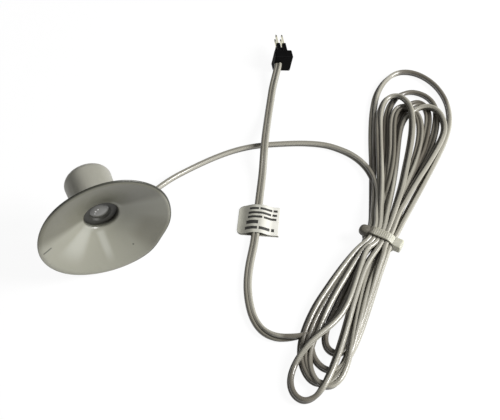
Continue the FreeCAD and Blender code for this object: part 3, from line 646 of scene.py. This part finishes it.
def makeCup(choice, profile, wallRun):
    # the profile turned about the head's level axis, its rim swayed, dented and flat where it stands
    angle = np.linspace(0, 2 * np.pi, choice["steps"], endpoint=False)
    radius, depth = profile[:, :1], profile[:, 1:]
    edge = (radius / choice["cupRadius"]) ** choice["edgePower"]
    sway = 0 * angle
    for high, count, start in choice["waves"]:
        sway += high * np.sin(count * angle + start)
    sway += choice["topLean"] * np.exp(-((angle - math.pi / 2) / choice["topLeanHalf"]) ** 2)
    press = 0 * angle
    for middle, wide, deep in choice["dents"]:
        apart = (angle - math.radians(middle) + math.pi) % (2 * math.pi) - math.pi
        press += deep * np.exp(-(apart / math.radians(wide)) ** 2)
    reach = radius - edge * press
    points = np.stack([
        reach * np.cos(angle),
        choice["rimDepth"] + depth + edge * sway,
        choice["centreHeight"] + reach * np.sin(angle),
    ], axis=-1)
    points[..., 2] = np.maximum(points[..., 2], choice["floorGap"])
    return meshPiece("clearCup", points.reshape(-1, 3) * mm,
                     [gridFaces(len(profile), len(angle), wrapRows=True)],
                     gridUvs(np.linspace(0, 1, len(angle) + 1), wallRun))


def cupCoat(choice, wallLength):
    # clear vinyl, clouded: each mark is laid over the shades before it, by the angle and the radius; all
    # but the scratch and the speck are painted light and shade
    coat = Coat("clearVinyl", {
        "Coat Weight": 0.3, "Coat Roughness": 0.25, "Subsurface Weight": 0.1,
        "Subsurface Radius": (2.2 * mm, 2.2 * mm, 1.8 * mm), "Subsurface Scale": 1.0,
    })
    here = coat.place((0, choice["rimDepth"], choice["centreHeight"]))
    across, _, rise = coat.parts(here)
    radius = coat.distance(across, rise)
    cloud = coat.noise(here, 0.09, 3.0)
    haze = coat.noise(here, 0.9)

    def facing(mark):
        # the cosine of the angle from the mark's way
        return (across * mark["way"][0] + rise * mark["way"][1]) / radius

    def seen(mark):
        # 1 where that cosine is past the mark's reach
        return coat.step(facing(mark), *mark["reach"])

    def beyond(limits, start=0.0):
        # 0 inside the first radius and 1 outside the second, both counted from the start
        return coat.step(radius, start + limits[0], start + limits[1])

    _, along, _ = coat.surfacePlace()
    back = wallLength - along
    lipMarkAndShade = choice["lipMarkAndShade"]
    lip = (1 - coat.step(back, *lipMarkAndShade["far"])) * coat.step(back, *lipMarkAndShade["near"]) * seen(lipMarkAndShade)
    slope = 1 - beyond(choice["slope"])
    streakPaintedLight = choice["streakPaintedLight"]
    streakFar = coat.size(across - streakPaintedLight["across"] + rise * streakPaintedLight["lean"])
    streaked = (1 - coat.step(streakFar, *streakPaintedLight["half"])) * slope * coat.step(rise * -1, *streakPaintedLight["below"])
    patchPaintedLight, hub = choice["patchPaintedLight"], choice["hubRadius"]
    patched = beyond(patchPaintedLight["inner"], hub) * (1 - beyond(patchPaintedLight["outer"], hub))
    patched = patched * coat.step(coat.size(facing(patchPaintedLight)), *patchPaintedLight["reach"])
    # painted highlights: the band, the streak and the patches on the shoulder
    light = coat.highest(coat.highest(seen(choice["band"]) * slope, streaked) * choice["light"]["share"],
                         patched * patchPaintedLight["share"])
    shadow = choice["shadow"]
    shaded = seen(shadow) * beyond(shadow["radii"])
    scratch = choice["scratch"]
    fromX, fromY = across - scratch["place"][0], rise - scratch["place"][1]
    wayX, wayY = scratch["way"]
    scratched = 1 - coat.step(coat.size(fromX * wayY - fromY * wayX), *scratch["halfWidth"])
    scratched = scratched * (1 - coat.step(coat.size(fromX * wayX + fromY * wayY), *scratch["halfLength"]))
    speck = choice["speck"]
    speckFar = coat.distance(across - speck["place"][0], rise - speck["place"][1])
    marked = coat.highest(scratched, 1 - coat.step(speckFar, *speck["radii"]))
    hubPaintedShade = choice["hubPaintedShade"]
    shade = coat.blend(cloud * 0.5 + haze * 0.1, choice["shade"], choice["otherShade"])
    for share, over in (
        (seen(choice["top"]) * choice["top"]["share"], choice["top"]["shade"]),
        (light, choice["light"]["shade"]),
        (shaded * shadow["share"], shadow["shade"]),
        (marked * choice["markShare"], choice["edgeShade"]),
        (lip * lipMarkAndShade["share"], choice["edgeShade"]),
        ((1 - beyond(hubPaintedShade["edge"], hub)) * hubPaintedShade["share"], hubPaintedShade["shade"]),
    ):
        shade = coat.blend(share, shade, over)
    return coat.grained(shade, haze, choice)


cupWall = cupProfile(headSet)
wallRun = walked(np.vstack([cupWall, cupWall[:1]]))
cup = makeCup(headSet, cupWall, wallRun)
finishPiece(cup, cupCoat(headSet, float(wallRun[-1])), "cup_vinyl", "suction_cup")
print("cup made")


def powered(value, power):
    # the size of the value raised to a power, with the value's sign
    return np.sign(value) * np.abs(value) ** power


def makeStrap(choice):
    # a loop of two straights and two half rounds, walked by its length, carries a rounded flat section
    # whose outer face is rippled with teeth
    radius = (choice["bundleHeight"] + choice["strapThickness"]) / 2
    straight = choice["bundleWidth"] - choice["bundleHeight"]
    bend = math.pi * radius
    walk = np.linspace(0, 2 * (straight + bend), choice["strapSteps"], endpoint=False)
    part = np.searchsorted(np.cumsum([straight, bend, straight, bend]), walk, side="right")
    inside = walk - np.array([0, straight, straight + bend, 2 * straight + bend])[part]
    middle = np.choose(part, [-straight / 2 + inside, straight / 2, straight / 2 - inside, -straight / 2])
    quarter = math.pi / 2
    angle = np.choose(part, [-quarter, -quarter + inside / radius, quarter, quarter + inside / radius])
    half = choice["strapWidth"] / 2
    thin = choice["strapThickness"] / 2
    side = np.linspace(0, 2 * np.pi, 24, endpoint=False)
    widePower, thinPower = choice["strapPowers"]
    square = powered(np.cos(side), widePower)
    flat = powered(np.sin(side), thinPower)
    tooth = np.abs(np.sin(np.pi * walk / choice["toothPitch"]))[:, None]
    inset = np.clip((half * choice["toothBand"] - np.abs(half * square)) / 0.3, 0, 1)
    away = radius + (thin * flat - choice["toothDepth"] * (1 - tooth) * inset * (flat > 0.6))
    points = np.stack([
        middle[:, None] + away * np.cos(angle)[:, None],
        np.broadcast_to(half * square, away.shape),
        radius + thin + away * np.sin(angle)[:, None],
    ], axis=-1)
    return points.reshape(-1, 3), [gridFaces(len(walk), len(side), wrapRows=True)]


def softBlock(size, centre, power, count=28):
    # a ball whose sine and cosine are raised to a power: nearly a box at 0.3, a pebble at 0.8
    lat = np.linspace(-np.pi / 2, np.pi / 2, count)[1:-1, None]
    lon = np.linspace(0, 2 * np.pi, 2 * count, endpoint=False)[None]
    grid = np.stack([
        powered(np.cos(lat), power) * powered(np.cos(lon), power) + 0 * lat,
        powered(np.cos(lat), power) * powered(np.sin(lon), power) + 0 * lat,
        powered(np.sin(lat), power) + 0 * lon,
    ], axis=-1)
    rows, columns = grid.shape[:2]
    points = np.vstack([grid.reshape(-1, 3), [(0, 0, -1), (0, 0, 1)]])
    first = np.arange(columns)
    groups = [gridFaces(rows, columns), fanFaces(first, rows * columns, turnedRound=True),
              fanFaces(first + (rows - 1) * columns, rows * columns + 1)]
    return points * (np.array(size) / 2) + np.array(centre), groups


def makeTie(choice):
    # three closed shells in one mesh: each one's faces count on from the points before it
    shells = [
        makeStrap(choice),
        softBlock(choice["headSize"], choice["headPlace"], choice["headShape"]),
        softBlock(choice["knobSize"], choice["knobPlace"], choice["knobShape"]),
    ]
    starts = np.cumsum([0] + [len(points) for points, _ in shells])
    groups = [group + start for (_, faces), start in zip(shells, starts) for group in faces]
    points = np.vstack([points for points, _ in shells])
    return meshPiece("strapTie", turned(points, choice["turn"], choice["place"]), groups)


def tieCoat(choice):
    # milky nylon with painted shade and light: the knob's shade, the strap's and the head's follow each
    # other across the bundle, from the shaded knob to the lit head
    coat = Coat("milkyNylon", {
        "Subsurface Weight": 0.3, "Subsurface Radius": (1.4 * mm, 1.4 * mm, 1.1 * mm),
        "Subsurface Scale": 1.0, "Coat Weight": 0.15, "Coat Roughness": 0.3,
    })
    here = coat.place(choice["place"])
    x, y, _ = coat.parts(here)
    turn = math.radians(choice["turn"])
    across = x * math.cos(turn) + y * math.sin(turn)
    cloud = coat.noise(here, 0.35)
    grain = coat.noise(here, 6.0, 1.0)
    # painted shade towards the knob
    strap = coat.blend(coat.step(across, *choice["knobPaintedShadeSpan"]), choice["knobPaintedShade"], choice["strapShade"])
    # painted light towards the head
    head = coat.step(across, *choice["headPaintedLightSpan"]) * 0.9 + cloud * 0.1
    return coat.grained(coat.blend(head, strap, choice["shade"]), grain, choice)


finishPiece(makeTie(tieSet), tieCoat(tieSet), "tie_nylon", "cable_tie")
print("tie made")

labelSet = {
    "place": (58.2, -12.05, 0.0),
    "turn": -27.1,
    "length": 13.6,
    "left": 7.4,
    "right": 8.9,
    "corner": 2.2,
    "film": 0.2,
    "cordTop": 2.35,
    "foldRadius": 0.42,
    "flagHeight": 0.42,
    "riseSpan": (1.3, 5.0),  # where the film starts to come down from the cord, and over how many mm
    "dropSpan": (0.6, 6.4),
    # painted light and shade: darker towards the flat end, lighter towards the fold
    "shade": (0.4, 0.395, 0.335),
    "paintedLightShade": (0.74, 0.73, 0.67),
    "paintedLightSpan": (-3.0, 8.0),
    "roughness": 0.42,
    "grain": (0.15, 0.03, 0.4),
    "barShade": (0.008, 0.008, 0.007),
    "barEdge": 0.08,
    # plain bars: middle along the cord, half height, and both ends across it
    "bars": [
        (4.9, 0.55, -3.2, 0.4), (4.9, 0.55, 0.9, 5.6), (4.9, 0.55, 6.1, 7.7),
        (2.8, 0.55, -3.5, 5.3), (2.8, 0.55, 5.8, 7.6), (0.8, 0.55, -3.6, 2.0), (0.8, 0.55, 2.6, 7.5),
        (-1.7, 0.85, -4.0, 0.6), (-4.5, 0.7, -4.3, 0.4), (-4.5, 0.7, 1.0, 5.2), (-4.5, 0.7, 5.8, 7.0),
    ],
}


def eased(low, high, share):
    # high at share 0, low at share 1, and half a cosine wave between
    return low + (high - low) * 0.5 * (1 + np.cos(np.clip(share, 0, 1) * np.pi))


def labelPath(choice):
    # (across, height) of the film's middle: from the left end under the cord, round the fold and back
    radius = choice["foldRadius"]
    right = choice["right"] - radius
    middle = choice["film"] / 2
    below = np.column_stack([np.linspace(-choice["left"], right, 60), np.full(60, middle)])
    fold = arcPoints((right, middle + radius), radius, -90, 80, 16)[1:]
    over = np.linspace(right - 0.1, -choice["left"] + 0.05, 110)[1:]
    riseStart, riseLength = choice["riseSpan"]
    dropStart, dropLength = choice["dropSpan"]
    rise = eased(middle + 2 * radius, choice["cordTop"], (over - riseStart) / riseLength)
    drop = eased(choice["flagHeight"], choice["cordTop"], (-dropStart - over) / dropLength)
    return np.vstack([below, fold, np.column_stack([over, np.where(over > 0, rise, drop)])])


def makeLabel(choice):
    # the path carried along the cord, shorter near both free ends so that the corners are round
    path = labelPath(choice)
    corner = choice["corner"]
    inset = np.clip(path[:, 0] + choice["left"], 0, corner)
    half = choice["length"] / 2 - corner + np.sqrt(np.maximum(corner**2 - (corner - inset) ** 2, 0))
    share = np.linspace(-1, 1, 40)
    along = half[:, None] * share[None]
    lift = 0.05 * np.sin(along * 0.7 + path[:, :1] * 0.5)
    points = np.stack([
        np.broadcast_to(path[:, :1], along.shape), along,
        path[:, 1:] + np.maximum(lift, 0),
    ], axis=-1)
    piece = meshPiece("foldedLabel", turned(points.reshape(-1, 3), choice["turn"], choice["place"]),
                      [gridFaces(len(path), len(share), wrapColumns=False)], gridUvs(share, walked(path)))
    wall = piece.modifiers.new("film", "SOLIDIFY")
    wall.thickness = choice["film"] * mm
    wall.offset = 0.0
    return piece


def labelCoat(choice):
    # satin film with painted light and shade, darker at its flat end and lighter towards the fold, with
    # plain dark bars on its upper side
    coat = Coat("satinFilm", {"Coat Weight": 0.2, "Coat Roughness": 0.25})
    turn = math.radians(choice["turn"])
    x, y, z = coat.parts(coat.place(choice["place"]))
    across = x * math.cos(turn) + y * math.sin(turn)
    along = y * math.cos(turn) - x * math.sin(turn)
    soft = choice["barEdge"]
    ink = 0.0
    for middle, half, left, right in choice["bars"]:
        inside = 1 - coat.step(coat.size(along - middle), half - soft, half + soft)
        inside = inside * coat.step(across, left - soft, left + soft)
        inside = inside * (1 - coat.step(across, right - soft, right + soft))
        ink = coat.highest(ink, inside)
    ink = ink * coat.step(z, choice["film"] * 1.5, choice["film"] * 1.7)
    grain = coat.noise(coat.place(), 1.6, 3.0)
    speckle = coat.noise(coat.place(), 5.0, 1.0)
    paintedLight = coat.step(across, *choice["paintedLightSpan"]) + grain * 0.08
    film = coat.blend(paintedLight, choice["shade"], choice["paintedLightShade"])
    shade = coat.blend(ink * (0.9 + speckle * 0.1), film, choice["barShade"])
    return coat.grained(shade, grain, choice)


finishPiece(makeLabel(labelSet), labelCoat(labelSet), "label_film", "cord_label")
print("label made")

# finishes of the CAD pieces that stay: both shades, gloss, waves of the grain to a mm and its depth in mm,
# other settings of the shader, and the pieces
finishSet = {
    "ringGrey": ((0.04, 0.039, 0.03), (0.025, 0.025, 0.02), 0.4, 2.5, 0.02, {}, ["lens_ring"]),
    "canSteel": ((0.42, 0.42, 0.42), (0.34, 0.34, 0.33), 0.3, 3.0, 0.01, {"Metallic": 1.0},
                 ["photodiode", "diode_leg_left", "diode_leg_right"]),
    "boardBrown": ((0.1, 0.12, 0.05), (0.08, 0.1, 0.04), 0.5, 3.0, 0.02, {}, ["circuit_board"]),
    "coreSheath": ((0.46, 0.44, 0.37), (0.36, 0.34, 0.29), 0.34, 2.2, 0.02,
                   {"Coat Weight": 0.5, "Coat Roughness": 0.16}, ["sensor_core_front", "sensor_core_rear"]),
    "blackBlock": ((0.002, 0.002, 0.002), (0.003, 0.003, 0.003), 0.6, 3.0, 0.02,
                   {"Specular IOR Level": 0.06}, ["plug_body"]),
}


def plainCoat(name, shade, otherShade, roughness, grainScale, grainDepth, settings):
    # two near shades clouded together, with a fine grain in the gloss and the surface
    coat = Coat(name, settings)
    here = coat.place()
    cloud = coat.noise(here, grainScale * 0.15, 3.0)
    grain = coat.noise(here, grainScale)
    shade = coat.blend(coat.step(cloud, 0.3, 0.7), shade, otherShade)
    return coat.grained(shade, grain, {"roughness": roughness, "grain": (0.15, grainDepth, 0.5)})


housingSet = {
    # painted light and shade: lighter on one side, greyer towards the other
    "shade": (0.5, 0.49, 0.42),
    "otherShade": (0.27, 0.265, 0.225),
    "span": (-6.5, 5.0),   # mm across the head, where the second shade begins and where it is full
    "roughness": 0.4,
    "grain": (0.15, 0.02, 0.5),
}


def housingCoat(choice):
    # off-white plastic that lets some light in, with painted light and shade that make it greyer towards
    # one side, a little clouded
    coat = Coat("warmWhite", {
        "Coat Weight": 0.12, "Coat Roughness": 0.3, "Subsurface Weight": 0.1,
        "Subsurface Radius": (1.0 * mm, 1.0 * mm, 0.8 * mm), "Subsurface Scale": 1.0,
    })
    here = coat.place()
    across, _, _ = coat.parts(here)
    cloud = coat.noise(here, 0.3, 3.0)
    grain = coat.noise(here, 2.0)
    share = coat.step(across, *choice["span"]) * 0.95 + cloud * 0.1
    shade = coat.blend(share, choice["shade"], choice["otherShade"])
    return coat.grained(shade, grain, choice)


lensSet = {
    "milkyShade": (0.17, 0.17, 0.155),
    "edgeShade": (0.07, 0.07, 0.06),
    "cloudShade": (0.09, 0.09, 0.08),
    "edgeRadii": (1.6, 3.6),
    # painted glints: small bright spots on the crown
    "paintedGlintShade": (0.9, 0.9, 0.88),
    "spots": [(-1.5, 1.2, 0.42), (-0.5, 1.9, 0.34), (-1.9, 0.1, 0.3)],  # across, rise and radius
    "roughness": 0.12,
    "grain": (0.12, 0.05, 0.4),
}


def lensCoat(choice, head):
    # a clear crown, milky in its middle, with small painted glints on its upper left side
    coat = Coat("clearCrown", {"IOR": 1.49, "Coat Weight": 1.0, "Coat Roughness": 0.06})
    here = coat.place((0, head["rimDepth"], head["centreHeight"]))
    across, _, rise = coat.parts(here)
    cloud = coat.noise(here, 0.6)
    edge = coat.step(coat.distance(across, rise), *choice["edgeRadii"])
    shade = coat.blend(edge, choice["milkyShade"], choice["edgeShade"])
    for spotAcross, spotRise, radius in choice["spots"]:
        far = coat.distance(across - spotAcross, rise - spotRise)
        shade = coat.blend(1 - coat.step(far, radius * 0.4, radius), shade, choice["paintedGlintShade"])
    shade = coat.blend(cloud * 0.35, shade, choice["cloudShade"])
    return coat.grained(shade, cloud, choice)


pinSet = {
    "plugMiddle": (99.1, 60.1, 0.0),
    "turn": -13.5,            # degrees from +Y to the way that the pins point
    "shade": (0.92, 0.9, 0.72),
    "otherShade": (0.84, 0.8, 0.58),
    # painted shade on the dark tips
    "tipPaintedShade": (0.1, 0.095, 0.06),
    "tipSpan": (13.3, 14.1),  # mm ahead of the plug's middle
    "metallic": 0.6,
    "roughness": 0.26,
    "grain": (0.16, 0.01, 0.3),
}


def pinCoat(choice):
    # pale gold plating, with painted shade on the dark tips, which are less metallic
    coat = Coat("paleGold", {})
    here = coat.place(choice["plugMiddle"])
    x, y, _ = coat.parts(here)
    turn = math.radians(choice["turn"])
    tip = coat.step(x * -math.sin(turn) + y * math.cos(turn), *choice["tipSpan"])
    wear = coat.noise(here, 1.4, 3.0)
    gold = coat.blend(wear, choice["shade"], choice["otherShade"])
    coat.set({"Metallic": choice["metallic"] - tip * 0.3})
    return coat.grained(coat.blend(tip, gold, choice["tipPaintedShade"]), wear, choice)


def dress(coat, *names):
    # the coat as the only material of each CAD node
    for name in names:
        slots = nodes[name].data.materials
        slots.clear()
        slots.append(coat.material)


for name, (*finish, pieces) in finishSet.items():
    dress(plainCoat(name, *finish), *pieces)
dress(housingCoat(housingSet), "sensor_housing", "cord_gland")
dress(lensCoat(lensSet, headSet), "lens")
dress(pinCoat(pinSet), "pin_lower_left", "pin_lower_right", "pin_upper_left", "pin_upper_right")
print("CAD pieces dressed")

studio = {
    "floor": (0.5, 0.5, 0.5),
    "floorReach": 3.0,
    "floorGlow": 0.85,
    "glowStrength": 1.1,
    "worldStrength": 0.2,
    "keyPlace": (0.54, -0.28, 0.4),
    "keyEnergy": 8.0,
    "keySize": 0.3,
    "middle": (0.06, -0.01, 0.01),
}


def floorCoat(choice):
    # plain white to the camera and in reflections, apart from a share of the object's shadow
    coat = Coat("floorWhite", {})
    matt = coat.node("ShaderNodeBsdfDiffuse", {}, {"Color": choice["floor"]})
    glow = coat.node("ShaderNodeEmission", {}, {"Strength": choice["glowStrength"]})
    seen = 0.0
    for ray in ("Is Camera Ray", "Is Glossy Ray", "Is Transmission Ray"):
        seen = coat.highest(seen, coat.node("ShaderNodeLightPath", {}, {}, ray))
    mixed = coat.node("ShaderNodeMixShader", {}, (seen * choice["floorGlow"], matt, glow))
    coat.tree.links.new(mixed.socket, coat.tree.nodes["Material Output"].inputs[0])
    coat.tree.nodes.remove(coat.shader)
    return coat


def makeStudio(choice):
    # a white world, one square lamp aimed at the object's middle, and a floor twice as wide as its reach
    scene = bpy.context.scene
    scene.view_settings.view_transform = "Standard"
    world = bpy.data.worlds.new("studioWorld")
    world.use_nodes = True
    world.node_tree.nodes["Background"].inputs["Color"].default_value = (1, 1, 1, 1)
    world.node_tree.nodes["Background"].inputs["Strength"].default_value = choice["worldStrength"]
    scene.world = world
    data = bpy.data.lights.new("keyLamp", "AREA")
    data.energy = choice["keyEnergy"]
    data.size = choice["keySize"]
    lamp = bpy.data.objects.new("keyLamp", data)
    bpy.context.collection.objects.link(lamp)
    aim(lamp, choice["keyPlace"], choice["middle"])
    corners = np.array([(-1, -1, 0), (1, -1, 0), (1, 1, 0), (-1, 1, 0)]) * choice["floorReach"]
    floor = meshPiece("floor", corners, [[(0, 1, 2, 3)]], smooth=False)
    floor.data.materials.append(floorCoat(choice).material)


makeStudio(studio)
print("studio set")
